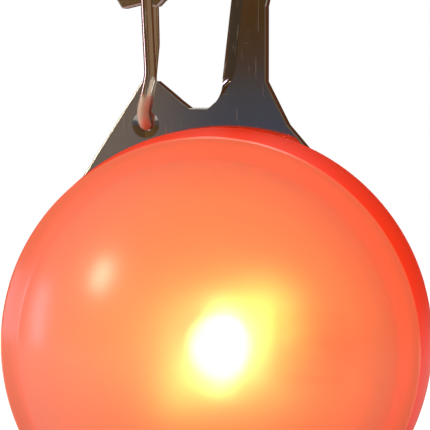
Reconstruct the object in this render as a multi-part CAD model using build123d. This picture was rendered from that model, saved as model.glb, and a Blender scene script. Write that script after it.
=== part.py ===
from build123d import *

import math
import os

# Clip-on LED ball light. Lengths are in millimetres. The design frame has its centre on the
# axis of the round body: the front faces -Y, +Z is up as the light hangs, and Y = 0 is the
# body's widest circle. Every part moves to the hang point when it is written.

# ---- driving dimensions -------------------------------------------------------------------
body_radius = 17.0  # widest circle of the round body
edge_radius = 16.15  # outer wall where the dome begins
edge_y = -5.4
edge_round = 0.5
dome_front_y = -13.0
dome_base_radius = 15.9
shell_wall = 1.6
press_travel = 0.5
slide_gap = 0.3  # between the shell's bore and the guide

plate_front_y = 2.0
plate_thickness = 2.0
plate_back_y = plate_front_y + plate_thickness
shell_rear_y = plate_front_y - press_travel - 0.4
plate_disc_radius = 16.62
plate_edge_round = 0.12
nose_round = 0.2

clip_centre_x = -2.75  # middle of the hook, left of the body's axis
arch_centre_z = 29.8
arch_outer_radius = 6.75
arch_inner_radius = 3.6
spine_outer_x = 3.46
shoulder_left = (-6.6, 20.6)
shoulder_right = (spine_outer_x, 20.6)
notch_z = 18.45
notch_left_x = -2.75
notch_right_x = -1.25
notch_waist = (-0.5, 19.25)
throat = (-0.15, 20.8)  # where the spine's straight inner edge begins
bevel_width = 1.05
bevel_depth = 0.7

wire_radius = 0.48
wire_gap = 0.1  # between the gate's legs and the plate's faces
pivot_x = -6.3
pivot_z = 17.15
pivot_clearance = 0.08
dimple_radius = 1.1  # the coined dish round the pivot hole, on both faces
dimple_depth = 0.12
crossbar_x = -6.2
gate_reach = 11.8  # from the pivot to the crossbar
pocket_gap = 0.25

cell_radius = 10.0
cell_thickness = 1.6
cell_cap_radius = 8.6
cell_cap_height = 0.2
cell_front_y = 2.6

bore_radius = 15.0  # inside of the shell's wall
guide_radius = bore_radius - slide_gap
guide_front_y = -3.6
guide_rear_y = -0.35
neck_radius = 13.8
cavity_radius = 13.0
floor_y = 0.6
floor_back_y = 1.7
floor_hole_radius = 3.6  # lets the negative contact through
seal_y = -2.0
seal_radius = 0.45
seal_groove_depth = 0.65
seal_groove_width = 1.0
sleeve_inner_radius = 10.3
sleeve_outer_radius = 11.2
sleeve_rear_y = 5.9
sleeve_hole_radius = 11.5

cover_radius = 14.7
cover_front_y = plate_back_y + 0.4
cover_back_y = 7.4
cover_cavity_radius = 11.6
cover_cavity_y = 6.3
cover_rim_round = 0.7
grip_groove = (8.9, 9.6, 0.3)  # inner radius, outer radius and depth
screw_circle = 12.9
boss_radius = 1.7
boss_front_y = -2.8
thread_radius = 0.7
screw_hole_radius = 0.85
head_radius = 1.3
head_height = 0.9
countersink_height = 0.8
cover_screw_angles = (90, 210, 330)
plate_screw_angles = (30, 150, 270)

board_radius = 12.7
board_rear_y = -0.4
board_front_y = -1.4
board_screw_circle = 9.4
board_screw_angles = (65, 180, 295)
board_head_radius = 1.0
board_thread_radius = 0.5

led_x = 0.4
led_z = -0.3
led_radius = 2.1
switch_x = 7.6
switch_half_width = 2.3
plunger_radius = 1.0
plunger_front_y = -4.2
plunger_rear_y = -2.7

hang_y = (plate_front_y + plate_back_y) / 2
hang_point = (clip_centre_x, hang_y, arch_centre_z + arch_inner_radius)


# ---- helpers --------------------------------------------------------------------------------
def slab(sketch, front_y, back_y):
    """A sketch drawn as (x, z), filled from one depth to another."""
    return extrude(Plane.XZ.offset(-front_y) * sketch, amount=back_y - front_y, dir=(0, 1, 0))


def rod(x, z, radius, front_y, back_y):
    return slab(Pos(x, z) * Circle(radius), front_y, back_y)


def tube(outer, inner, front_y, back_y):
    return slab(Circle(outer) - Circle(inner), front_y, back_y)


def block(x, z, width, height, front_y, back_y):
    return slab(Pos(x, z) * Rectangle(width, height), front_y, back_y)


def turned(edges):
    """A closed outline drawn as (radius, y), turned about the body's axis."""
    return revolve(make_face(edges), Axis.Y)


def turned_corners(*corners):
    return turned(Polyline(*corners, close=True))


def on_circle(radius, degrees):
    return radius * math.cos(math.radians(degrees)), radius * math.sin(math.radians(degrees))


def around(radius, angles, make):
    """The same piece at several angles of one circle."""
    pieces = [make(*on_circle(radius, angle)) for angle in angles]
    return Part() + pieces


def write(name, shape):
    solids = (Pos(*(-value for value in hang_point)) * shape).solids()
    export_step(Compound(solids) if len(solids) > 1 else solids[0], f"parts/{name}.step")


# ---- the dome's two spheres -------------------------------------------------------------------
dome_base_y = edge_y - 0.25
dome_height = dome_base_y - dome_front_y
dome_sphere = (dome_base_radius**2 + dome_height**2) / (2 * dome_height)
dome_centre_y = dome_front_y + dome_sphere
inner_sphere = dome_sphere - shell_wall


def cap_y(sphere, radius):
    """Depth of a dome's surface at a distance from the axis."""
    return dome_centre_y - math.sqrt(sphere**2 - radius**2)


# ---- translucent shell, which is also the push button ------------------------------------------
wall_bulge = ((body_radius - edge_radius) ** 2 + edge_y**2) / (2 * (body_radius - edge_radius))
shell_rear_radius = body_radius - wall_bulge + math.sqrt(wall_bulge**2 - shell_rear_y**2)
ring_front_y = guide_rear_y + 0.05
ring_rear_y = ring_front_y + 0.7
ring_outer_radius = bore_radius + 0.5


def make_lens_shell():
    mid_radius = dome_base_radius / 2
    base = (dome_base_radius, dome_base_y)
    edge = (edge_radius, edge_y)
    rear = (shell_rear_radius, shell_rear_y)
    bore_rear = (bore_radius, shell_rear_y)
    bore_front = (bore_radius, cap_y(inner_sphere, bore_radius))
    inner_mid = (mid_radius, cap_y(inner_sphere, mid_radius))
    inner_apex = (0, cap_y(inner_sphere, 0))
    apex = (0, dome_front_y)
    outer_mid = (mid_radius, cap_y(dome_sphere, mid_radius))
    shell = turned(
        [
            Line(rear, bore_rear),
            Line(bore_rear, bore_front),
            ThreePointArc(bore_front, inner_mid, inner_apex),
            Line(inner_apex, apex),
            ThreePointArc(apex, outer_mid, base),
            Line(base, edge),
            ThreePointArc(edge, (body_radius, 0), rear),
        ]
    )
    front_edges = shell.edges().filter_by(GeomType.CIRCLE).filter_by(
        lambda e: e.radius > bore_radius + 0.2 and edge_y - 1 < e.center().Y < edge_y + 1
    )
    shell = fillet(front_edges, edge_round)
    fit = 0.02
    groove = tube(ring_outer_radius + fit, bore_radius - 1, ring_front_y - fit, ring_rear_y + fit)
    return shell - groove


def make_retaining_ring():
    """A split ring sprung into the shell's bore, which catches behind the guide."""
    ring = tube(ring_outer_radius, neck_radius + slide_gap, ring_front_y, ring_rear_y)
    return ring - block(0, -bore_radius, 2.4, 4, ring_front_y, ring_rear_y)


frame_front_y = -5.6
frame_rear_y = -4.9


def make_press_frame():
    """A ring bonded inside the dome, with an arm and a post that reach the switch."""
    ring = tube(bore_radius, 12.0, frame_front_y, frame_rear_y)
    inside = Pos(0, dome_centre_y, 0) * Sphere(inner_sphere)
    arm = block((switch_x + 12.6) / 2, 0, 12.6 - switch_x, 2.4, frame_front_y, frame_rear_y)
    foot = rod(switch_x, 0, 1.2, frame_front_y, plunger_front_y)
    return (ring & inside) + arm + foot


# ---- steel clip plate ---------------------------------------------------------------------------
arch_centre = (clip_centre_x, arch_centre_z)
arch_right_x = clip_centre_x + arch_inner_radius
arch_left_x = clip_centre_x - arch_inner_radius
arch_top_z = arch_centre_z + arch_inner_radius
spine_top = (spine_outer_x, 26.6)
heel_angle = 194.0  # where the arch's outer circle ends above the nose


def tangent_point(point, centre, radius, side):
    """Where a line from a point touches a circle; side is +1 for the anticlockwise one."""
    x, z = point[0] - centre[0], point[1] - centre[1]
    turn = math.degrees(math.acos(radius / math.hypot(x, z)))
    touch = on_circle(radius, math.degrees(math.atan2(z, x)) + side * turn)
    return centre[0] + touch[0], centre[1] + touch[1]


def hook_outline():
    heel = on_circle(arch_outer_radius, heel_angle)
    arch_heel = (clip_centre_x + heel[0], arch_centre_z + heel[1])
    arch_outer_top = (clip_centre_x, arch_centre_z + arch_outer_radius)
    arch_spine = tangent_point(spine_top, arch_centre, arch_outer_radius, 1)
    arch_throat = tangent_point(throat, arch_centre, arch_inner_radius, 1)
    left_flare = tangent_point(shoulder_left, (0, 0), plate_disc_radius, 1)
    return make_face(
        [
            Polyline(
                (8.1, 13.76),
                (0, 0),
                left_flare,
                shoulder_left,
                (-5.4, 20.6),
                (-4.06, 19.5),
                (-3.45, 18.98),
                (notch_left_x, notch_z),
                (notch_right_x, notch_z),
            ),
            ThreePointArc((notch_right_x, notch_z), notch_waist, throat),
            Line(throat, arch_throat),
            ThreePointArc(arch_throat, (clip_centre_x, arch_top_z), (arch_left_x, arch_centre_z)),
            Polyline(
                (arch_left_x, arch_centre_z),
                (arch_left_x, 28.9),
                (-4.2, 28.9),
                (-4.3, 27.7),
                (-5.36, 26.6),
                (-6.7, 26.78),
                (-8.22, 26.42),
                arch_heel,
            ),
            ThreePointArc(arch_heel, arch_outer_top, arch_spine),
            Polyline(arch_spine, spine_top, shoulder_right, (5.21, 17.14), (8.1, 13.76)),
        ]
    )


def eye_bevel(front_y, depth):
    """The wedge that bevels the spine's inner edge and fades out in the notch and the arch."""

    def opening(width, y):
        lower = (throat[0] + width * 1.08, throat[1] + width * 0.5)
        upper = (arch_right_x + width, arch_centre_z)
        waist = (notch_waist[0] + width * 0.59, notch_waist[1] + width * 0.52)
        turn_x = clip_centre_x + (arch_inner_radius + width * 0.6) * 0.72
        turn_z = arch_centre_z + (arch_inner_radius + width * 0.5) * 0.72
        start = (notch_right_x, notch_z)
        end = (clip_centre_x, arch_top_z)
        edges = [
            Line((clip_centre_x, 24), start),
            ThreePointArc(start, waist, lower),
            Line(lower, upper),
            ThreePointArc(upper, (turn_x, turn_z), end),
            Line(end, (clip_centre_x, 24)),
        ]
        return Plane.XZ.offset(-y) * make_face(edges)

    return loft([opening(bevel_width, front_y), opening(0, front_y + depth)], ruled=True)


def crossbar_centre():
    return crossbar_x, pivot_z + math.sqrt(gate_reach**2 - (crossbar_x - pivot_x) ** 2)


def make_carabiner_plate():
    plate = slab(Circle(plate_disc_radius) + hook_outline(), plate_front_y, plate_back_y)
    corners = plate.edges().filter_by(Axis.Y)
    nose_corners = corners.filter_by(lambda e: e.center().X < -4.0 and 26.0 < e.center().Z < 28.5)
    plate = fillet(nose_corners, nose_round)
    rims = plate.edges().group_by(Axis.Y)
    plate = fillet(rims[0] + rims[-1], plate_edge_round)
    plate -= eye_bevel(plate_front_y, bevel_depth)
    plate -= eye_bevel(plate_back_y, -bevel_depth)
    bar_x, bar_z = crossbar_centre()
    swing = Pos(pivot_x, pivot_z) * (
        Circle(gate_reach + wire_radius + pocket_gap) - Circle(gate_reach - wire_radius - pocket_gap)
    )
    pocket = swing & (Pos(bar_x + 2.0, bar_z) * Rectangle(2 * (wire_radius + 2.07), 4))
    plate -= slab(pocket, plate_front_y, plate_back_y)
    plate -= rod(0, 0, sleeve_hole_radius, plate_front_y, plate_back_y)
    plate -= rod(pivot_x, pivot_z, wire_radius + pivot_clearance, plate_front_y, plate_back_y)
    dish = (dimple_radius**2 + dimple_depth**2) / (2 * dimple_depth)
    for dish_y in (plate_front_y + dimple_depth - dish, plate_back_y - dimple_depth + dish):
        plate -= Pos(pivot_x, dish_y, pivot_z) * Sphere(dish)
    for angle in cover_screw_angles + plate_screw_angles:
        plate -= rod(*on_circle(screw_circle, angle), screw_hole_radius, plate_front_y, plate_back_y)
    for angle in plate_screw_angles:
        plate -= countersink(*on_circle(screw_circle, angle), 0.05)
    return plate


def countersink(x, z, clearance):
    """The cone of a flat-headed screw whose head is level with the plate's back."""
    cone = Cone(thread_radius + clearance, head_radius + 0.25 + clearance, countersink_height)
    return Pos(x, plate_back_y - countersink_height / 2, z) * Rot(-90, 0, 0) * cone


# ---- sprung wire gate ------------------------------------------------------------------------------
front_leg_y = plate_front_y - wire_gap - wire_radius
rear_leg_y = plate_back_y + wire_gap + wire_radius
plate_mid_y = (plate_front_y + plate_back_y) / 2


def make_wire_gate():
    """One bent wire: a leg on each face of the plate, joined by the crossbar."""
    bar_x, bar_z = crossbar_centre()
    path = FilletPolyline(
        (pivot_x, plate_mid_y - 0.1, pivot_z),
        (pivot_x, front_leg_y, pivot_z),
        (-6.43, front_leg_y, 18.2),
        (-5.8, front_leg_y, 21.2),
        (bar_x, front_leg_y, bar_z),
        (bar_x, rear_leg_y, bar_z),
        (-6.08, rear_leg_y, 23.6),
        (-6.33, rear_leg_y, 21.0),
        (pivot_x, rear_leg_y, pivot_z),
        (pivot_x, plate_mid_y + 0.1, pivot_z),
        radius=[0.7, 1.5, 3, 0.8, 0.8, 3, 3, 0.7],
    )
    return sweep(Plane(path @ 0, z_dir=path % 0) * Circle(wire_radius), path=path)


# ---- chassis, seals and battery side -----------------------------------------------------------------
clip_slot_x = sleeve_inner_radius + 0.25


def make_chassis():
    """Guide for the shell, screw bosses, a floor, and a sleeve that holds the cells."""
    chassis = tube(guide_radius, cavity_radius, guide_front_y, floor_y)
    chassis -= tube(guide_radius + 1, neck_radius, guide_rear_y, floor_y)
    floor = tube(neck_radius, floor_hole_radius, floor_y, floor_back_y)
    chassis += floor + tube(sleeve_outer_radius, sleeve_inner_radius, floor_back_y, sleeve_rear_y)
    inside = rod(0, 0, cavity_radius + 0.5, boss_front_y, floor_y)
    for angle in cover_screw_angles + plate_screw_angles:
        x, z = on_circle(screw_circle, angle)
        chassis += rod(x, z, boss_radius, boss_front_y, floor_y) & inside
        chassis -= rod(x, z, thread_radius, boss_front_y + 0.6, floor_back_y)
    for angle in board_screw_angles:
        x, z = on_circle(board_screw_circle, angle)
        chassis += rod(x, z, 1.4, board_rear_y, floor_y)
        chassis -= rod(x, z, board_thread_radius + 0.05, board_rear_y, floor_y + 0.5)
    chassis -= block(clip_slot_x, 0, 0.9, 3.2, floor_y, sleeve_rear_y)
    groove_front_y = seal_y - seal_groove_width / 2
    groove_bottom = guide_radius - seal_groove_depth
    return chassis - tube(guide_radius + 1, groove_bottom, groove_front_y, groove_front_y + seal_groove_width)


def make_shell_seal():
    centre = guide_radius - seal_groove_depth + seal_radius
    section = Pos(centre, seal_y) * Circle(seal_radius)
    return revolve(section, Axis.Y)


def make_front_gasket():
    return tube(neck_radius, sleeve_outer_radius + 0.1, floor_back_y, plate_front_y) - all_screw_holes(
        floor_back_y, plate_front_y, screw_hole_radius
    )


def make_back_gasket():
    ring = tube(cover_radius - 0.1, cover_cavity_radius, plate_back_y, cover_front_y)
    clearance = head_radius + 0.35
    for angle in cover_screw_angles:
        ring -= rod(*on_circle(screw_circle, angle), screw_hole_radius, plate_back_y, cover_front_y)
    for angle in plate_screw_angles:
        ring -= rod(*on_circle(screw_circle, angle), clearance, plate_back_y, cover_front_y)
    return ring


def all_screw_holes(front_y, back_y, radius):
    return around(
        screw_circle, cover_screw_angles + plate_screw_angles, lambda x, z: rod(x, z, radius, front_y, back_y)
    )


head_seat_y = cover_back_y - 1.2


def make_back_cover():
    cover = rod(0, 0, cover_radius, cover_front_y, cover_back_y)
    rim = cover.edges().filter_by(GeomType.CIRCLE).group_by(Axis.Y)[-1]
    cover = fillet(rim, cover_rim_round)
    cover -= rod(0, 0, cover_cavity_radius, cover_front_y, cover_cavity_y)
    groove_inner, groove_outer, groove_depth = grip_groove
    cover -= tube(groove_outer, groove_inner, cover_back_y - groove_depth, cover_back_y)
    for angle in cover_screw_angles:
        x, z = on_circle(screw_circle, angle)
        cover -= rod(x, z, screw_hole_radius, cover_front_y, cover_back_y)
        cover -= rod(x, z, head_radius + 0.15, head_seat_y, cover_back_y)
    return cover


def cross_recess(x, z, top_y, depth):
    """The cross in a screw's head, cut from its outer face; depth is signed along Y."""
    low, high = sorted((top_y, top_y - depth))
    return block(x, z, 1.5, 0.36, low, high) + block(x, z, 0.36, 1.5, low, high)


def cover_screw(x, z):
    head_top_y = head_seat_y + head_height
    head = rod(x, z, head_radius, head_seat_y, head_top_y)
    shank = rod(x, z, thread_radius, boss_front_y + 0.8, head_seat_y)
    return head + shank - cross_recess(x, z, head_top_y, head_height / 2)


def plate_screw(x, z):
    shank = rod(x, z, thread_radius, boss_front_y + 1.2, plate_back_y - countersink_height)
    return countersink(x, z, 0) + shank - cross_recess(x, z, plate_back_y, countersink_height / 2)


def board_screw(x, z):
    head_top_y = board_front_y - 0.6
    head = rod(x, z, board_head_radius, head_top_y, board_front_y)
    shank = rod(x, z, board_thread_radius, board_front_y, floor_y + 0.3)
    return head + shank - cross_recess(x, z, head_top_y, -0.3)


def coin_cell(front_y):
    """The small negative face is at the front and the can's flat base at the back."""
    can_front_y = front_y + cell_cap_height
    can = rod(0, 0, cell_radius, can_front_y, front_y + cell_thickness)
    can = chamfer(can.edges().filter_by(GeomType.CIRCLE), 0.15)
    return can + rod(0, 0, cell_cap_radius, front_y, can_front_y)


def make_cell_cushion():
    return rod(0, 0, 8.0, cell_front_y + 2 * cell_thickness, cover_cavity_y)


def make_negative_contact():
    """A leaf soldered to the board, which bends back to press on the front cell."""
    strip = 0.25
    outline = make_face(
        Polyline(
            (-2.6, board_rear_y),
            (1.4, board_rear_y),
            (2.6, cell_front_y - strip),
            (2.9, cell_front_y),
            (2.3, cell_front_y),
            (1.2, board_rear_y + strip),
            (-2.6, board_rear_y + strip),
            close=True,
        )
    )
    return extrude(Pos(0, 0, -1.2) * outline, amount=2.4)


def make_positive_contact():
    """A strip in the sleeve's slot, from the board to the rear cell's edge."""
    strip = 0.3
    inner = cell_radius + 0.35
    strip_side = block(inner + strip / 2, 0, strip, 2.8, board_rear_y, sleeve_rear_y - 0.2)
    tab = block(inner - 0.6, 0, 1.2 + strip, 2.8, board_rear_y, board_rear_y + strip)
    bump = block(cell_radius + 0.2, 0, 0.4, 2.0, cell_front_y + 2.2, cell_front_y + 2.8)
    return strip_side + tab + bump


# ---- circuit board and light ------------------------------------------------------------------------
def make_circuit_board():
    board = rod(0, 0, board_radius, board_front_y, board_rear_y)
    for angle in cover_screw_angles + plate_screw_angles:
        board -= rod(*on_circle(screw_circle, angle), boss_radius + 0.25, board_front_y, board_rear_y)
    for angle in board_screw_angles:
        x, z = on_circle(board_screw_circle, angle)
        board -= rod(x, z, board_thread_radius + 0.15, board_front_y, board_rear_y)
    return board


led_flange_y = board_front_y - 0.8
led_shoulder_y = led_flange_y - 0.9


def make_led_base():
    return rod(led_x, led_z, led_radius + 0.4, led_flange_y, board_front_y)


def make_led_die():
    return block(led_x, led_z, 0.9, 0.9, led_flange_y - 0.3, led_flange_y)


def make_led_lens():
    barrel = rod(led_x, led_z, led_radius, led_shoulder_y, led_flange_y)
    cap = Pos(led_x, led_shoulder_y, led_z) * Sphere(led_radius)
    front_half = rod(led_x, led_z, led_radius + 1, led_shoulder_y - led_radius - 1, led_shoulder_y)
    die_pocket = block(led_x, led_z, 0.94, 0.94, led_flange_y - 0.32, led_flange_y)
    return barrel + (cap & front_half) - die_pocket


def make_reflector():
    """A white dished disc round the LED, with a window for the switch."""
    inner, outer = led_radius + 0.8, cavity_radius - 0.05
    front_inner, front_outer, sheet = -2.9, -3.9, 0.5
    dish = turned_corners(
        (inner, front_inner + sheet), (outer, front_outer + sheet), (outer, front_outer), (inner, front_inner)
    )
    dish += tube(outer, outer - 0.5, front_outer, boss_front_y)
    side = 2 * switch_half_width + 0.8
    window = block(switch_x, 0, side, side, front_outer, boss_front_y + 1)
    return dish - window - rod(led_x, led_z, inner, front_outer, front_inner + 1)


switch_front_y = board_front_y - 2.0
switch_well_y = board_front_y - 0.4


def make_switch_body():
    width = 2 * switch_half_width
    body = block(switch_x, 0, width, width, switch_front_y, board_front_y)
    return body - rod(switch_x, 0, 1.5, switch_front_y, switch_well_y)


def make_switch_cover():
    width = 2 * switch_half_width
    cover = block(switch_x, 0, width, width, switch_front_y - 0.15, switch_front_y)
    return cover - rod(switch_x, 0, plunger_radius + 0.08, switch_front_y - 0.15, switch_front_y)


def make_switch_snap_dome():
    """A thin sprung cap under the plunger that gives the click."""
    rise, base, sheet = 0.3, 1.4, 0.08
    sphere = (base**2 + rise**2) / (2 * rise)
    centre_y = switch_well_y - rise + sphere
    ball = Pos(switch_x, centre_y, 0) * (Sphere(sphere) - Sphere(sphere - sheet))
    return ball & rod(switch_x, 0, base, switch_well_y - rise - 0.1, switch_well_y)


def make_switch_plunger():
    return rod(switch_x, 0, plunger_radius, plunger_front_y, plunger_rear_y)


def chip(x, z, width, height, thickness):
    return block(x, z, width, height, board_front_y - thickness, board_front_y)


def make_controller_chip():
    """A square package with three legs on each side."""
    x, z = -6.2, 2.6
    package = chip(x, z, 3.0, 3.0, 0.9)
    for side in (-1.75, 1.75):
        for row in (-1, 0, 1):
            package += chip(x + side, z + row, 0.5, 0.35, 0.3)
    return package


def end_capped(x, z):
    """A two-terminal part: a ceramic body between two slightly larger metal ends."""
    body = chip(x, z, 1.6, 0.7, 0.45)
    return body + chip(x - 0.65, z, 0.3, 0.8, 0.5) + chip(x + 0.65, z, 0.3, 0.8, 0.5)


parts = {
    "lens_shell": make_lens_shell(),
    "press_frame": make_press_frame(),
    "retaining_ring": make_retaining_ring(),
    "carabiner_plate": make_carabiner_plate(),
    "wire_gate": make_wire_gate(),
    "chassis": make_chassis(),
    "shell_seal": make_shell_seal(),
    "front_gasket": make_front_gasket(),
    "back_gasket": make_back_gasket(),
    "back_cover": make_back_cover(),
    "cover_screws": around(screw_circle, cover_screw_angles, cover_screw),
    "plate_screws": around(screw_circle, plate_screw_angles, plate_screw),
    "board_screws": around(board_screw_circle, board_screw_angles, board_screw),
    "coin_cell_front": coin_cell(cell_front_y),
    "coin_cell_rear": coin_cell(cell_front_y + cell_thickness),
    "cell_cushion": make_cell_cushion(),
    "negative_contact": make_negative_contact(),
    "positive_contact": make_positive_contact(),
    "circuit_board": make_circuit_board(),
    "controller_chip": make_controller_chip(),
    "led_resistor": end_capped(-3.4, -6.4),
    "capacitor": end_capped(1.2, -7.6),
    "led_base": make_led_base(),
    "led_die": make_led_die(),
    "led_lens": make_led_lens(),
    "reflector": make_reflector(),
    "switch_body": make_switch_body(),
    "switch_cover": make_switch_cover(),
    "switch_snap_dome": make_switch_snap_dome(),
    "switch_plunger": make_switch_plunger(),
}

os.makedirs("parts", exist_ok=True)
for name, shape in parts.items():
    write(name, shape)
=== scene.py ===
import math

import bmesh
import bpy
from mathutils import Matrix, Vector


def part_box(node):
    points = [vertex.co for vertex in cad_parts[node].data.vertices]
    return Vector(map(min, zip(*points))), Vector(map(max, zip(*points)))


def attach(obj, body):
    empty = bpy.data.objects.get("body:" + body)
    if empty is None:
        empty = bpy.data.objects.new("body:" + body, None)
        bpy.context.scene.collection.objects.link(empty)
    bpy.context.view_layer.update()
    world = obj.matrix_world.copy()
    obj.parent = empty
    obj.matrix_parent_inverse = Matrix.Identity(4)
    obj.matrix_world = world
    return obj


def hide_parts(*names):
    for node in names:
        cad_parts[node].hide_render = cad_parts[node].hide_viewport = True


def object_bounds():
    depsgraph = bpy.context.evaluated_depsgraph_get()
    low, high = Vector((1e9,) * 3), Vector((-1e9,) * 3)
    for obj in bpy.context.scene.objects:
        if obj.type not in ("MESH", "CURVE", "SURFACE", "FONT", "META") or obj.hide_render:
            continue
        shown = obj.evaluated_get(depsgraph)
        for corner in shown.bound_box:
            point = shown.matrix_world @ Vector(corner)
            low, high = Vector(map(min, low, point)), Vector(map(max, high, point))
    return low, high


# The looks of the clip-on LED ball light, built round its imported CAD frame. Blender's lengths
# are metres; the sizes named in millimetres below are scaled by MM where they are used.
# The body's axis runs along Y with the front towards -Y, and +Z is up.

MM = 0.001
PER_METRE = 1000  # millimetres

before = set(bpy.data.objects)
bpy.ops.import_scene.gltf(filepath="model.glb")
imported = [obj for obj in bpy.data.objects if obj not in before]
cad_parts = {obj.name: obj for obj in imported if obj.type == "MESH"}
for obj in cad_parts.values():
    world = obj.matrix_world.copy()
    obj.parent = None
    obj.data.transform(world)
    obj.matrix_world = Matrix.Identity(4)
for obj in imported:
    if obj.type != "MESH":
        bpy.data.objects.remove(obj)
cad_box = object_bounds()

# ---- places read from the frame, in metres -----------------------------------------------------
shell_low, shell_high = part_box("lens_shell")
BODY_X = (shell_low.x + shell_high.x) / 2
BODY_Z = (shell_low.z + shell_high.z) / 2
BODY_RADIUS = (shell_high.x - shell_low.x) / 2
REAR_Y = shell_high.y
APEX_Y = shell_low.y
FLOOR_Z = cad_box[0].z

# ---- driving sizes of the shell, in millimetres ------------------------------------------------
WIDEST_FROM_REAR = 1.1
EDGE_RADIUS = 16.15  # of the side wall where it ends
EDGE_FROM_WIDEST = 5.4
DOME_BASE_RADIUS = 15.9
DOME_BASE_FROM_EDGE = 0.25
CORNER = (0.13, 0.1)  # the corner that EDGE_ROUND rounds: out from the dome's base, and back
EDGE_ROUND = 0.5
ROUND_ENDS = 0.97  # of the dome's base radius
FACE_STARTS = 0.965
BORE_RADIUS = 15.0
SHELL_WALL = 1.6
RIM_STARTS = 14.4  # where the glow painted on the face turns redder towards its edge
GROOVE_RADIUS = 15.52  # where the retaining ring sits in the bore
GROOVE_FROM_WIDEST = (-0.32, 0.42)
WALL_STEPS = 24
FACE_STEPS = 48
INNER_STEPS = 32
TURN_STEPS = 160
ON_AXIS = 1e-6
WIDEST_Y = REAR_Y - WIDEST_FROM_REAR * MM
CENTRE = Vector((BODY_X, WIDEST_Y, BODY_Z))

# ---- the light painted round the LED ------------------------------------------------------------
# Painted light, as emission on the white plastic round the LED. Each is an oval: its middle from
# the light and its half sizes in millimetres, its turn in degrees and the sharpness of its edge.
CORE = ((0.15, 0.1), (3.15, 1.9), 90, 5.0)
CORE_STRENGTH = 36.0
HALOS = (  # and their strengths
    (((3.0, 2.4), (3.1, 2.5), 37, 2.0), 9.5),
    (((-2.4, -2.9), (3.0, 2.2), 45, 2.0), 4.8),
    (((3.4, -2.7), (3.2, 2.8), 0, 2.0), 2.0),
    (((-5.0, 2.0), (5.0, 4.0), 20, 2.0), 0.7),
)
FALL_STRENGTH = 14.5  # of the round glow beside the light
FALL_RATE = -0.45  # each millimetre
LEAST_GLOW = 0.2
CORE_COLOUR = (1.0, 0.97, 0.88)
HALO_COLOUR = (1.0, 0.85, 0.28)

# ---- colours of the shell, as linear red, green and blue -----------------------------------------
FACE_COLOURS = ((0.8, 0.27, 0.12), (0.82, 0.3, 0.14))
# Painted shade: the face's colour turns redder and darker towards the bottom.
LOW_FACE_PAINTED_SHADE = (0.78, 0.2, 0.085)
WALL_COLOUR = (0.7, 0.045, 0.01)
# Painted glow: the light from inside, painted on the shell as emission, pinker on the left and redder at
# the face's edge.
RIGHT_PAINTED_GLOWS = ((0.3, 0.085, 0.04), (0.45, 0.022, 0.004))  # of the face and of the side wall
LEFT_PAINTED_GLOWS = ((0.3, 0.12, 0.085), (0.45, 0.045, 0.018))
RIM_PAINTED_GLOW = (0.38, 0.072, 0.028)

# ---- colours of the other pieces -----------------------------------------------------------------
ORANGE = (0.75, 0.12, 0.04)
WHITE = (0.78, 0.78, 0.75)
TIN = (0.72, 0.7, 0.66)
LACQUER = (0.012, 0.11, 0.045)
LACQUERED_TRACK = (0.03, 0.22, 0.09)
LACQUER_SHADE = (0.02, 0.07, 0.04)
TRACKS = 5.2  # radians each millimetre
WIRE_DULLED_FOR_REFLECTION = (-13.2, -14.8)  # heights in millimetres between which the gate's wire is made duller and less metallic, to tone down the red reflection of the shell in its foot

# ---- camera, in degrees and millimetres ----------------------------------------------------------
CAMERA_AZIMUTH = 8.95
CAMERA_ELEVATION = 4.1
CAMERA_DISTANCE = 200.0
CAMERA_TARGET = Vector((-0.33, 0.0, 10.04))  # from the body's centre
LENS = 210.3
SENSOR = 36.0
CLIP_START = 0.01  # metres

# ---- studio, in metres, degrees and watts --------------------------------------------------------
FLOOR_RADIUS = 0.22
FLOOR_SEGMENTS = 96
FLOOR_GLOW_SPAN = (0.01, 0.06)  # how far behind the body the paper's glow rises
FLOOR_GLOWS = (0.12, 0.75)
LIGHTS = (  # name, azimuth, elevation, distance, size, power and colour
    ("softbox_back", 180, 62, 2.0, (1.2, 1.2), 14, (1, 0.98, 0.95)),
    ("lamp", -57.3, 23.1, 0.45, (0.06, 0.09), 0.42, (1, 0.88, 0.65)),
    ("window", -88, -4, 0.5, (0.06, 0.3), 0.36, (0.9, 0.72, 1.0)),
)
FRONT_ROOM = (  # share of the way up the room's middle band, and its colour there
    (0.36, (0.085, 0.105, 0.16)),
    (0.415, (0.115, 0.12, 0.135)),
    (0.43, (0.11, 0.085, 0.065)),
    (0.452, (0.12, 0.052, 0.01)),
    (1.0, (0.15, 0.08, 0.035)),
)
ROOM_BAND = (-0.12, 0.12)
LEFT_PATCH_COLOURS = ((0.44, (0.34, 0.26, 0.2)), (0.52, (0.27, 0.145, 0.045)))
LEFT_PATCH_LEVELS = ((0.4, 0.0), (0.6, 0.4), (0.775, 0.6), (0.808, 1.0), (0.843, 0.0))
DARK_LEFT = (-0.35, -0.6, (0.09, 0.06, 0.035))
ROOM_SIDES = (  # axis, where the colour starts and is full along it, and the colour
    ("X", 0.05, 0.4, (0.24, 0.17, 0.115)),
    ("Y", 0.2, 0.6, (0.1, 0.035, 0.014)),
    ("Z", 0.45, 0.8, (0.35, 0.35, 0.35)),
)


def direction(azimuth, elevation):
    """Unit vector towards a compass azimuth seen from the front, and a height in degrees."""
    turn, rise = math.radians(azimuth), math.radians(elevation)
    return Vector((math.sin(turn) * math.cos(rise), -math.cos(turn) * math.cos(rise), math.sin(rise)))


def link(obj):
    bpy.context.scene.collection.objects.link(obj)
    return obj


def aim(obj, place, target):
    obj.location = place
    obj.rotation_mode = "QUATERNION"
    obj.rotation_quaternion = (target - place).to_track_quat("-Z", "Y")
    return obj


def make_camera():
    camera = link(bpy.data.objects.new("camera", bpy.data.cameras.new("camera")))
    camera.data.lens = LENS
    camera.data.sensor_width = SENSOR
    camera.data.clip_start = CLIP_START
    target = CENTRE + CAMERA_TARGET * MM
    aim(camera, target + direction(CAMERA_AZIMUTH, CAMERA_ELEVATION) * CAMERA_DISTANCE * MM, target)
    bpy.context.scene.camera = camera


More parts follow.
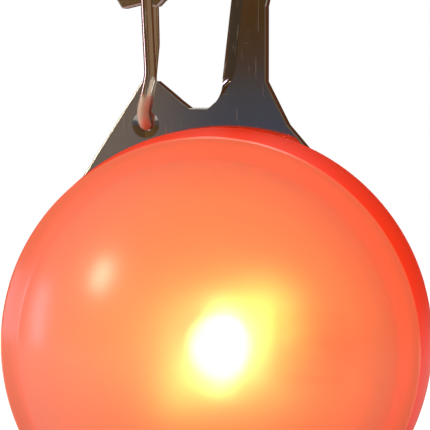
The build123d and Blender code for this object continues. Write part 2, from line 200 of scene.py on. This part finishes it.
# ---- shader helpers -------------------------------------------------------------------------------
class Shader:
    """One material with its Principled node, and short ways to add nodes to it."""

    def __init__(self, name, **sockets):
        self.material = bpy.data.materials.new(name)
        self.material.use_nodes = True
        self.tree = self.material.node_tree
        self.surface = self.tree.nodes["Principled BSDF"]
        for socket, value in sockets.items():
            self.set(socket.replace("_", " "), value)

    def set(self, socket, value):
        self.plug(self.surface.inputs[socket], value)
        return self

    def plug(self, socket, value):
        if isinstance(value, bpy.types.NodeSocket):
            self.tree.links.new(value, socket)
        elif isinstance(value, tuple) and len(value) == 3 and len(socket.default_value) == 4:
            socket.default_value = (*value, 1.0)
        else:
            socket.default_value = value

    def node(self, kind, settings=None, **sockets):
        made = self.tree.nodes.new(kind)
        for name, value in (settings or {}).items():
            setattr(made, name, value)
        for name, value in sockets.items():
            self.plug(made.inputs[name.replace("_", " ")], value)
        return made

    def math(self, operation, *values):
        made = self.tree.nodes.new("ShaderNodeMath")
        made.operation = operation
        for socket, value in zip(made.inputs, values):
            self.plug(socket, value)
        return made.outputs[0]

    def place(self, scale=(1, 1, 1), turn=(0, 0, 0), offset=(0, 0, 0)):
        """Object coordinates, scaled so that one unit is 1/scale metres."""
        source = self.node("ShaderNodeTexCoord").outputs["Object"]
        settings = {"Vector": source, "Scale": scale, "Rotation": turn, "Location": offset}
        return self.node("ShaderNodeMapping", **settings).outputs[0]

    def millimetres(self, x=0.0, z=0.0):
        """Object coordinates in millimetres, from the line along Y through x and z in metres."""
        vector = self.place((PER_METRE,) * 3, offset=(-x * PER_METRE, 0, -z * PER_METRE))
        return self.node("ShaderNodeSeparateXYZ", Vector=vector).outputs

    def noise(self, scale, detail=3.0, rough=0.55, **where):
        made = self.node("ShaderNodeTexNoise", Scale=1.0, Detail=detail, Roughness=rough)
        vector = (scale,) * 3 if isinstance(scale, (int, float)) else scale
        self.plug(made.inputs["Vector"], self.place(vector, **where))
        return made.outputs[0]

    def ramp(self, factor, *stops, blend="EASE"):
        made = self.node("ShaderNodeValToRGB", Fac=factor)
        made.color_ramp.interpolation = blend
        elements = made.color_ramp.elements
        while len(elements) < len(stops):
            elements.new(0.5)
        for element, (position, colour) in zip(elements, stops):
            element.position = position
            element.color = (*colour, 1.0) if isinstance(colour, tuple) else (colour,) * 3 + (1.0,)
        return made.outputs["Color"]

    def span(self, value, low, high, new_low, new_high, smooth=True):
        kind = "SMOOTHSTEP" if smooth else "LINEAR"
        made = self.node("ShaderNodeMapRange", {"interpolation_type": kind})
        for socket, number in zip(made.inputs, (value, low, high, new_low, new_high)):
            self.plug(socket, number)
        return made.outputs[0]

    def mix(self, factor, first, second, blend="MIX"):
        made = self.node("ShaderNodeMix", {"data_type": "RGBA", "blend_type": blend})
        self.plug(made.inputs[0], factor)
        self.plug(made.inputs[6], first if not isinstance(first, tuple) else (*first, 1.0))
        self.plug(made.inputs[7], second if not isinstance(second, tuple) else (*second, 1.0))
        return made.outputs[2]

    def radius(self, first, second):
        squares = [self.math("MULTIPLY", value, value) for value in (first, second)]
        return self.math("SQRT", self.math("ADD", *squares))

    def bump(self, height, strength, distance):
        made = self.node("ShaderNodeBump", Strength=strength, Distance=distance, Height=height)
        return self.set("Normal", made.outputs[0])


# ---- materials ---------------------------------------------------------------------------------------
def tinted(colour, factor):
    return tuple(min(1.0, value * factor) for value in colour)


def brushed_steel(name, tone, rough, streak=(16000, 16000, 700), relief=0.035, dulled_heights=None):
    """Rolled and polished sheet: fine streaks, faint stains and a few stray scratches.

    dulled_heights is a height and a lower height in millimetres, between which it is made duller and less
    metallic, to tone down the red reflection of the glowing shell there."""
    shader = Shader(name, Metallic=1.0)
    streaks = shader.noise(streak, detail=2.0)
    stains = shader.noise(160, detail=3.0)
    upright = shader.noise((7000, 7000, 260), detail=1.0, turn=(0, 0.12, 0))
    across = shader.noise((420, 7000, 7000), detail=1.0, turn=(0, 0.3, 0))
    scratches = shader.span(upright, 0.66, 0.73, 0.0, 1.0), shader.span(across, 0.7, 0.76, 0.0, 0.7)
    marks = shader.math("MAXIMUM", *scratches)
    base = shader.mix(stains, tinted(tone, 0.8), tone)
    shader.set("Base Color", shader.mix(marks, base, tinted(tone, 1.35)))
    roughness = shader.span(streaks, 0.3, 0.7, rough * 0.7, rough * 1.3, smooth=False)
    roughness = shader.math("ADD", roughness, shader.math("MULTIPLY", stains, rough * 0.4))
    roughness = shader.math("ADD", roughness, shader.math("MULTIPLY", marks, 0.12))
    # duller and less metallic here to tone down the shell's red reflection, not wear
    if dulled_heights:
        height = shader.millimetres()[2]
        roughness = shader.math("MAXIMUM", roughness, shader.span(height, *dulled_heights, 0.0, 0.5))
        shader.set("Metallic", shader.span(height, *dulled_heights, 1.0, 0.3))
    shader.set("Roughness", roughness)
    return shader.bump(shader.math("ADD", streaks, shader.math("MULTIPLY", marks, 0.5)), relief, 0.00001)


def turned_steel(name, tone, rough, pitch, middle=(0.0, 0.0)):
    """A stamped round face: fine rings about an axis along Y, with cloudy stains."""
    shader = Shader(name, Metallic=1.0)
    x, _, z = shader.millimetres(*middle)
    rings = shader.math("SINE", shader.math("MULTIPLY", shader.radius(x, z), 2 * math.pi / pitch))
    clouds = shader.noise(350, detail=4.0)
    shader.set("Base Color", shader.mix(clouds, tinted(tone, 0.82), tone))
    shader.set("Roughness", shader.span(clouds, 0.3, 0.7, rough * 0.8, rough * 1.3))
    return shader.bump(rings, 0.1, 0.000005)


def middle_of(node):
    low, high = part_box(node)
    return (low + high) / 2


def glow_spot(shader, x, z, middle, size, turn, sharp):
    """An oval patch of light: 1 at its middle, falling off as exp(-(distance / size) ** sharp)."""
    cosine, sine = math.cos(math.radians(turn)), math.sin(math.radians(turn))
    dx = shader.math("SUBTRACT", x, middle[0])
    dz = shader.math("SUBTRACT", z, middle[1])

    def turned(x_share, z_share, reach):
        from_x = shader.math("MULTIPLY", dx, x_share / reach)
        from_z = shader.math("MULTIPLY", dz, z_share / reach)
        return shader.math("ADD", from_x, from_z)

    along = turned(cosine, sine, size[0])
    over = turned(-sine, cosine, size[1])
    far = shader.math("POWER", shader.radius(along, over), sharp)
    return shader.math("EXPONENT", shader.math("MULTIPLY", far, -1.0))


def shell_plastic(name="shell_plastic"):
    """Frosted orange plastic with painted light: its glow from the light inside is emission painted on,
    pinker on the left, redder at the face's edge and dimmer towards the rear and the bottom, and the
    face has painted shade, redder towards the bottom. The side wall is a deeper red, and frosted more.
    """
    shader = Shader(name, IOR=1.45)
    x, y, z = shader.millimetres()
    wall = shader.span(y, -EDGE_FROM_WIDEST - 0.6, -EDGE_FROM_WIDEST + 0.4, 0.0, 1.0)
    mottle = shader.noise(120, detail=0.0)
    face = shader.mix(mottle, *FACE_COLOURS)
    # painted shade: redder towards the bottom
    face = shader.mix(shader.span(z, -9.0, 1.0, 1.0, 0.0), face, LOW_FACE_PAINTED_SHADE)
    shader.set("Base Color", shader.mix(wall, face, WALL_COLOUR))
    # painted glow from the light inside: pinker on the left, redder at the face's edge
    side = shader.span(x, -16.0, 2.0, 1.0, 0.0)
    glow = shader.mix(side, shader.mix(wall, *RIGHT_PAINTED_GLOWS), shader.mix(wall, *LEFT_PAINTED_GLOWS))
    rim = shader.span(shader.radius(x, z), RIM_STARTS, DOME_BASE_RADIUS, 0.0, 0.6)
    rim = shader.math("MULTIPLY", rim, shader.span(wall, 0.0, 1.0, 1.0, 0.0))
    shader.set("Emission Color", shader.mix(rim, glow, RIM_PAINTED_GLOW))
    # painted shade: the glow dims towards the rear and towards the bottom
    depth = shader.span(y, -5.0, 1.5, 1.0, 0.6)
    shader.set("Emission Strength", shader.math("MULTIPLY", depth, shader.span(z, -14.0, 6.0, 0.7, 1.0)))
    shader.set("Roughness", shader.span(wall, 0.0, 1.0, 0.28, 0.5))
    shader.set("Transmission Weight", 0.6)
    shader.set("Specular IOR Level", 0.1)
    shader.set("Coat Weight", shader.span(wall, 0.0, 1.0, 0.4, 0.0))
    shader.set("Coat Roughness", 0.2)
    return shader


def glowing(name, colour, strength):
    """A lit part, a little brighter in places."""
    shader = Shader(name, Base_Color=colour, Roughness=0.4)
    cells = shader.noise(2500)
    shader.set("Emission Color", shader.mix(cells, tinted(colour, 0.85), colour))
    return shader.set("Emission Strength", strength)


def lit_plastic(name):
    """White plastic round the light, with painted light as emission: white-hot beside it, in an uneven
    yellow halo.
    """
    shader = Shader(name)
    grain = shader.noise(1400)
    shader.set("Base Color", shader.mix(grain, (0.74, 0.74, 0.72), (0.82, 0.82, 0.8)))
    shader.set("Roughness", shader.span(grain, 0.3, 0.7, 0.45, 0.55))
    light = middle_of("led_lens")
    x, _, z = shader.millimetres(light.x, light.z)
    fall = shader.math("EXPONENT", shader.math("MULTIPLY", shader.radius(x, z), FALL_RATE))
    core = glow_spot(shader, x, z, *CORE)
    # painted light: the core, halos and round glow are emission on this plastic
    shader.set("Emission Color", shader.mix(core, HALO_COLOUR, CORE_COLOUR))
    halos = [(glow_spot(shader, x, z, *shape), strength) for shape, strength in HALOS]
    level = LEAST_GLOW
    for value, strength in ((fall, FALL_STRENGTH), (core, CORE_STRENGTH), *halos):
        level = shader.math("ADD", shader.math("MULTIPLY", value, strength), level)
    shader.set("Emission Strength", level)
    return shader.bump(grain, 0.1, 0.00001)


def moulded(name, colour, rough, variation=0.12, grain=900, relief=0.2, clear=0.0):
    """Moulded plastic or rubber with a fine grain and a slight change of colour."""
    shader = Shader(name)
    grains = shader.noise(grain)
    clouds = shader.noise(grain * 0.15, detail=2.0)
    base = shader.mix(grains, tinted(colour, 1 - variation), colour)
    shader.set("Base Color", shader.mix(shader.math("MULTIPLY", clouds, 0.3), base, tinted(colour, 0.85)))
    shader.set("Roughness", shader.span(grains, 0.3, 0.7, rough * 0.85, min(1.0, rough * 1.15)))
    shader.set("Transmission Weight", clear)
    return shader.bump(grains, relief, 0.00002)


def foam(name, colour):
    """Closed cells, with painted shade: darker in the pits between them."""
    shader = Shader(name, Roughness=0.95)
    cells = shader.node("ShaderNodeTexVoronoi", Vector=shader.place((3500,) * 3), Scale=1.0)
    walls = shader.span(cells.outputs["Distance"], 0.1, 0.7, 0.0, 1.0)
    # painted shade: darker in the pits
    shader.set("Base Color", shader.mix(walls, tinted(colour, 0.5), colour))
    return shader.bump(walls, 0.5, 0.00005)


def plated(name, tone, rough):
    """Thin sprung strip: plated metal with rolling lines and a few tarnished patches."""
    shader = Shader(name, Metallic=1.0)
    lines = shader.noise((600, 9000, 9000), detail=2.0)
    tarnish = shader.span(shader.noise(700), 0.5, 0.7, 0.0, 1.0)
    shader.set("Base Color", shader.mix(tarnish, tone, tinted(tone, 0.7)))
    shader.set("Roughness", shader.span(lines, 0.3, 0.7, rough * 0.7, rough * 1.4))
    return shader.bump(lines, 0.1, 0.00001)


def solder_mask(name):
    """Green lacquer over copper tracks that run one way and then the other."""
    shader = Shader(name, Roughness=0.3)
    x, _, z = shader.millimetres()
    along = shader.math("SINE", shader.math("MULTIPLY", x, TRACKS))
    across = shader.math("SINE", shader.math("MULTIPLY", z, TRACKS))
    patch = shader.span(shader.noise(220, detail=0.0), 0.48, 0.52, 0.0, 1.0)
    track = shader.span(shader.mix(patch, along, across), 0.55, 0.7, 0.0, 1.0)
    grain = shader.noise(3000)
    lacquer = shader.mix(track, LACQUER, LACQUERED_TRACK)
    shader.set("Base Color", shader.mix(shader.math("MULTIPLY", grain, 0.25), lacquer, LACQUER_SHADE))
    shader.set("Coat Weight", 0.4)
    return shader.bump(track, 0.3, 0.00003)


def packaged(node, name, body, half_width):
    """A board part: a dull body, and tin beyond half_width from its middle, in millimetres along X."""
    shader = Shader(name)
    middle = middle_of(node)
    x = shader.millimetres(middle.x, middle.z)[0]
    ends = shader.span(shader.math("ABSOLUTE", x), half_width - 0.02, half_width + 0.02, 0.0, 1.0)
    grain = shader.noise(4000)
    dull = shader.mix(grain, tinted(body, 0.8), body)
    shader.set("Base Color", shader.mix(ends, dull, TIN))
    shader.set("Metallic", ends)
    dull_roughness = shader.span(grain, 0.3, 0.7, 0.5, 0.65)
    shader.set("Roughness", shader.mix(ends, dull_roughness, (0.28, 0.28, 0.28)))
    return shader.bump(grain, 0.2, 0.00001)


def make_materials():
    """One material for each kind of surface, by node name."""
    body_axis = (BODY_X, BODY_Z)
    # the wire's foot is made duller to tone down the shell's red reflection in it
    wire = {"streak": (9000, 9000, 900), "dulled_heights": WIRE_DULLED_FOR_REFLECTION}
    screw = turned_steel("screw_steel", (0.6, 0.59, 0.57), 0.25, 0.12)
    silicone = moulded("silicone", (0.62, 0.61, 0.58), 0.45, grain=1500)
    cell = turned_steel("cell_steel", (0.68, 0.67, 0.64), 0.22, 0.09, body_axis)
    contact = plated("contact_metal", (0.75, 0.62, 0.36), 0.25)
    white = moulded("white_plastic", WHITE, 0.5)
    # lit_white carries the light painted round the LED, as emission
    lit_white = lit_plastic("lit_plastic")
    return {
        "carabiner_plate": brushed_steel("polished_steel", (0.56, 0.55, 0.54), 0.07),
        "wire_gate": brushed_steel("spring_wire", (0.95, 0.8, 0.64), 0.09, **wire),
        "lens_shell": shell_plastic("shell_frame_plastic"),
        "press_frame": moulded("clear_frame", (0.88, 0.86, 0.83), 0.25, variation=0.05, clear=0.85),
        "retaining_ring": turned_steel("spring_steel", (0.5, 0.49, 0.48), 0.3, 0.06, body_axis),
        "chassis": white,
        "shell_seal": silicone,
        "front_gasket": silicone,
        "back_gasket": silicone,
        "back_cover": moulded("orange_cover", ORANGE, 0.38, grain=2200, relief=0.35),
        "cover_screws": screw,
        "plate_screws": screw,
        "board_screws": screw,
        "coin_cell_front": cell,
        "coin_cell_rear": cell,
        "cell_cushion": foam("foam", (0.12, 0.12, 0.12)),
        "negative_contact": contact,
        "positive_contact": contact,
        "circuit_board": solder_mask("board_lacquer"),
        "controller_chip": packaged("controller_chip", "chip_black", (0.03, 0.03, 0.035), 1.51),
        "led_resistor": packaged("led_resistor", "resistor_black", (0.05, 0.05, 0.055), 0.5),
        "capacitor": packaged("capacitor", "capacitor_tan", (0.5, 0.36, 0.2), 0.5),
        "reflector": lit_white,
        "led_lens": glowing("led_glow", (1.0, 0.97, 0.85), 40.0),
        "led_die": glowing("led_die_glow", (1.0, 0.97, 0.8), 40.0),
        "led_base": lit_white,
        "switch_body": lit_white,
        "switch_cover": lit_white,
        "switch_snap_dome": contact,
        "switch_plunger": lit_white,
    }


def dress(nodes):
    materials = make_materials()
    for name, obj in nodes.items():
        obj.data.materials.clear()
        obj.data.materials.append(materials[name].material)


# ---- shell ---------------------------------------------------------------------------------------------
def rounded_corner(before, corner, after, radius, steps=6):
    """Points of an arc that rounds the corner of an outline drawn as (radius, y)."""
    start = (Vector(before) - Vector(corner)).normalized()
    end = (Vector(after) - Vector(corner)).normalized()
    half = start.angle(end) / 2
    reach = radius / math.tan(half)
    middle = Vector(corner) + (start + end).normalized() * radius / math.sin(half)
    first = Vector(corner) + start * reach - middle
    last = Vector(corner) + end * reach - middle
    points = []
    for step in range(steps + 1):
        share = step / steps
        points.append(middle + first.slerp(last, share))
    return points


def shell_profile():
    """The shell's section as (radius, y from the widest circle), in millimetres.

    It runs from the rear along the outside to the apex, and back along the inside."""
    apex_y = (APEX_Y - WIDEST_Y) / MM
    rear_y = WIDEST_FROM_REAR
    body = BODY_RADIUS / MM
    edge_y = -EDGE_FROM_WIDEST
    base_y = edge_y - DOME_BASE_FROM_EDGE
    rise = base_y - apex_y
    dome = (DOME_BASE_RADIUS**2 + rise**2) / (2 * rise)
    dome_y = apex_y + dome
    drop = body - EDGE_RADIUS
    bulge = (drop**2 + edge_y**2) / (2 * drop)

    def wall(y):
        return body - bulge + math.sqrt(bulge**2 - y**2)

    def cap(sphere, radius):
        return dome_y - math.sqrt(sphere**2 - radius**2)

    outer_wall = []
    for step in range(WALL_STEPS - 1):
        y = rear_y + (edge_y - rear_y) * step / WALL_STEPS
        outer_wall.append((wall(y), y))
    sharp_corner = (DOME_BASE_RADIUS + CORNER[0], base_y + CORNER[1])
    round_end = DOME_BASE_RADIUS * ROUND_ENDS
    corner = rounded_corner(outer_wall[-1], sharp_corner, (round_end, cap(dome, round_end)), EDGE_ROUND)
    face = []
    for step in range(1, FACE_STEPS + 1):
        radius = DOME_BASE_RADIUS * FACE_STARTS * (1 - step / FACE_STEPS)
        face.append((radius, cap(dome, radius)))
    inner = []
    for step in range(INNER_STEPS + 1):
        radius = BORE_RADIUS * step / INNER_STEPS
        inner.append((radius, cap(dome - SHELL_WALL, radius)))
    groove_front, groove_rear = GROOVE_FROM_WIDEST
    bore = [
        (BORE_RADIUS, groove_front),
        (GROOVE_RADIUS, groove_front),
        (GROOVE_RADIUS, groove_rear),
        (BORE_RADIUS, groove_rear),
        (BORE_RADIUS, rear_y),
    ]
    return outer_wall + [tuple(point) for point in corner] + face + inner + bore


def turn_profile(name, profile, segments=TURN_STEPS):
    """A closed section turned about the body's axis, with its origin at the body's centre."""
    mesh = bpy.data.meshes.new(name)
    build = bmesh.new()
    rings = []
    for radius, y in profile:
        if radius < ON_AXIS:
            rings.append([build.verts.new((0, y * MM, 0))])
            continue
        ring = []
        for step in range(segments):
            angle = 2 * math.pi * step / segments
            across, up = radius * MM * math.cos(angle), radius * MM * math.sin(angle)
            ring.append(build.verts.new((across, y * MM, up)))
        rings.append(ring)
    for first, second in zip(rings, rings[1:] + rings[:1]):
        for step in range(segments):
            after = (step + 1) % segments
            if len(first) == 1 and len(second) == 1:
                continue
            if len(first) == 1:
                build.faces.new((first[0], second[after], second[step]))
            elif len(second) == 1:
                build.faces.new((first[step], first[after], second[0]))
            else:
                build.faces.new((first[step], first[after], second[after], second[step]))
    bmesh.ops.recalc_face_normals(build, faces=build.faces)
    build.to_mesh(mesh)
    build.free()
    for face in mesh.polygons:
        face.use_smooth = True
    obj = link(bpy.data.objects.new(name, mesh))
    obj.location = CENTRE
    return obj


def make_shell():
    shell = turn_profile("dome_shell", shell_profile())
    shell.data.materials.append(shell_plastic().material)
    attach(shell, "press")
    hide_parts("lens_shell")


# ---- studio ---------------------------------------------------------------------------------------------
def make_floor():
    """A sheet of white paper with painted light: its emission is stronger behind the light than in front of
    it.
    """
    mesh = bpy.data.meshes.new("floor")
    build = bmesh.new()
    bmesh.ops.create_circle(build, cap_ends=True, segments=FLOOR_SEGMENTS, radius=FLOOR_RADIUS)
    build.to_mesh(mesh)
    build.free()
    floor = link(bpy.data.objects.new("floor", mesh))
    floor.location = (BODY_X, WIDEST_Y, FLOOR_Z)
    paper = Shader("floor_paper", Roughness=0.9)
    fibres = paper.noise(600)
    paper.set("Base Color", paper.mix(fibres, (0.8, 0.8, 0.8), (0.84, 0.84, 0.84)))
    behind = paper.node("ShaderNodeSeparateXYZ", Vector=paper.place()).outputs[1]
    # painted light: the paper glows, more behind the body than in front of it
    paper.set("Emission Color", (1, 1, 1))
    paper.set("Emission Strength", paper.span(behind, *FLOOR_GLOW_SPAN, *FLOOR_GLOWS))
    mesh.materials.append(paper.material)


def make_light(name, azimuth, elevation, distance, size, power, colour):
    light = bpy.data.lights.new(name, "AREA")
    light.shape = "RECTANGLE"
    light.size, light.size_y = size
    light.energy = power
    light.color = colour
    obj = link(bpy.data.objects.new(name, light))
    aim(obj, CENTRE + direction(azimuth, elevation) * distance, CENTRE)


def make_world():
    """A dim room for the steel to reflect: brown above the horizon, slate below it.

    The camera itself sees plain white."""
    world = bpy.data.worlds.new("studio")
    world.use_nodes = True
    tree = world.node_tree
    tree.nodes.clear()

    def add(kind, *inputs):
        made = tree.nodes.new(kind)
        for socket, value in zip(made.inputs, inputs):
            if isinstance(value, bpy.types.NodeSocket):
                tree.links.new(value, socket)
            elif value is not None:
                socket.default_value = value
        return made

    axes = add("ShaderNodeSeparateXYZ", add("ShaderNodeTexCoord").outputs["Generated"]).outputs

    def share(axis, start, full):
        return add("ShaderNodeMapRange", axes[axis], start, full).outputs[0]

    def mix(factor, first, second):
        made = tree.nodes.new("ShaderNodeMix")
        made.data_type = "RGBA"
        for socket, value in zip((made.inputs[0], made.inputs[6], made.inputs[7]), (factor, first, second)):
            if isinstance(value, bpy.types.NodeSocket):
                tree.links.new(value, socket)
            else:
                socket.default_value = value
        return made.outputs[2]

    def ramp(value, *stops):
        made = add("ShaderNodeValToRGB", value)
        elements = made.color_ramp.elements
        while len(elements) < len(stops):
            elements.new(0.5)
        for element, (position, colour) in zip(elements, stops):
            element.position = position
            element.color = (*colour, 1)
        return made.outputs[0]

    height = share("Z", *ROOM_BAND)
    patch_level = ramp(share("X", -1.0, 0.0), *((at, (level,) * 3) for at, level in LEFT_PATCH_LEVELS))
    patch = ramp(height, *LEFT_PATCH_COLOURS)
    *dark_span, dark = DARK_LEFT
    room = mix(share("X", *dark_span), ramp(height, *FRONT_ROOM), (*dark, 1))
    room = mix(patch_level, room, patch)
    for axis, start, full, colour in ROOM_SIDES:
        room = mix(share(axis, start, full), room, (*colour, 1))
    path = add("ShaderNodeLightPath")
    around = add("ShaderNodeBackground", room)
    seen = add("ShaderNodeBackground", (1, 1, 1, 1))
    shown = add("ShaderNodeMixShader", path.outputs["Is Camera Ray"], around.outputs[0], seen.outputs[0])
    add("ShaderNodeOutputWorld", shown.outputs[0])
    bpy.context.scene.world = world


def make_studio():
    make_world()
    make_floor()
    for light in LIGHTS:
        make_light(*light)
    bpy.context.scene.view_settings.view_transform = "Standard"


make_camera()
dress(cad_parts)
make_shell()
make_studio()
